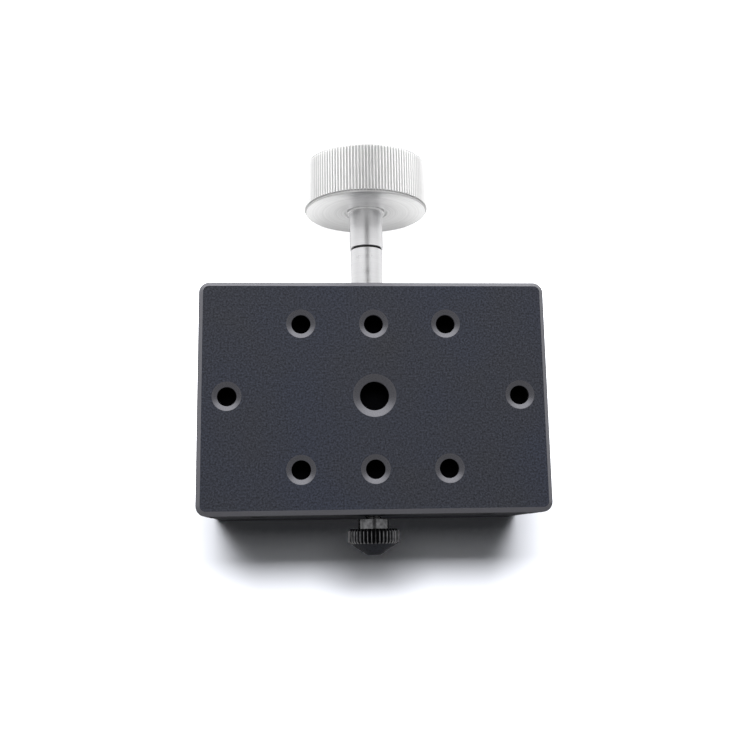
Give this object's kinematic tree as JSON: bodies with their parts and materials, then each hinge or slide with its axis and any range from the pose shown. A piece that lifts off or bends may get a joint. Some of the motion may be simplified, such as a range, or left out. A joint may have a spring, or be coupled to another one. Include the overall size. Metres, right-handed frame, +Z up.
{
  "type": "linear translation stage",
  "caption": "Dovetail linear translation stage: a tapped black table slides over its base, driven by a knurled side knob through a rack and pinion, with a thumbscrew lock.",
  "frame": {"origin": "centre of the base's underside", "axes": "+X along the travel, +Y towards the knob along its shaft, +Z up, out of the table"},
  "size_m": [0.06, 0.0749, 0.03],
  "materials": {
    "black_anodised": "bead-blasted and black anodised",
    "knob_aluminium": "turned and fine satin, knurled rim",
    "sleeve_steel": "turned bright steel",
    "shaft_steel": "ground steel",
    "screw_steel": "black oxide steel",
    "black_screw": "black finished and knurled",
    "bright_steel": "bright plated steel",
    "brass": "machined brass",
    "fibre": "dark fibre washer"
  },
  "bodies": {
    "base_body": {"base": "black_anodised", "pinion_sleeve": "sleeve_steel", "front_bush": "brass", "end_bush": "brass", "thrust_washer": "bright_steel", "sleeve_screw": "screw_steel"},
    "carriage": {"slider": "black_anodised", "gib": "brass", "gib_screws": "screw_steel", "stop_pin": "shaft_steel", "rack": "brass", "rack_screws": "screw_steel"},
    "drive": {"pinion_shaft": "shaft_steel", "friction_washer": "fibre", "hub": "sleeve_steel", "hub_pin": "shaft_steel", "knob": "knob_aluminium", "knob_washer": "bright_steel", "knob_screw": "screw_steel"},
    "lock_slide": {"lock_pad": "brass"},
    "lock_screw": {"lock_thumbscrew": "black_screw"}
  },
  "joints": [
    {"name": "table_slide", "type": "slide", "parent": "base_body", "child": "carriage", "axis": [1, 0, 0], "range_m": [-0.018, 0.018]},
    {"name": "knob_turn", "type": "hinge", "parent": "base_body", "child": "drive", "pos_m": [0, 0, 0.0125], "axis": [0, 1, 0], "range_deg": [-345, 345]},
    {"name": "lock_advance", "type": "slide", "parent": "carriage", "child": "lock_slide", "axis": [0, 1, 0], "range_m": [-0.001, 0.00045]},
    {"name": "lock_turn", "type": "hinge", "parent": "lock_slide", "child": "lock_screw", "pos_m": [0, 0, 0.0212], "axis": [0, 1, 0], "range_deg": [-721, 325]}
  ],
  "couplings": [
    {"joint": "knob_turn", "follows": "table_slide", "rad_per_m": 333.33},
    {"joint": "lock_turn", "follows": "lock_advance", "rad_per_m": 12566}
  ]
}
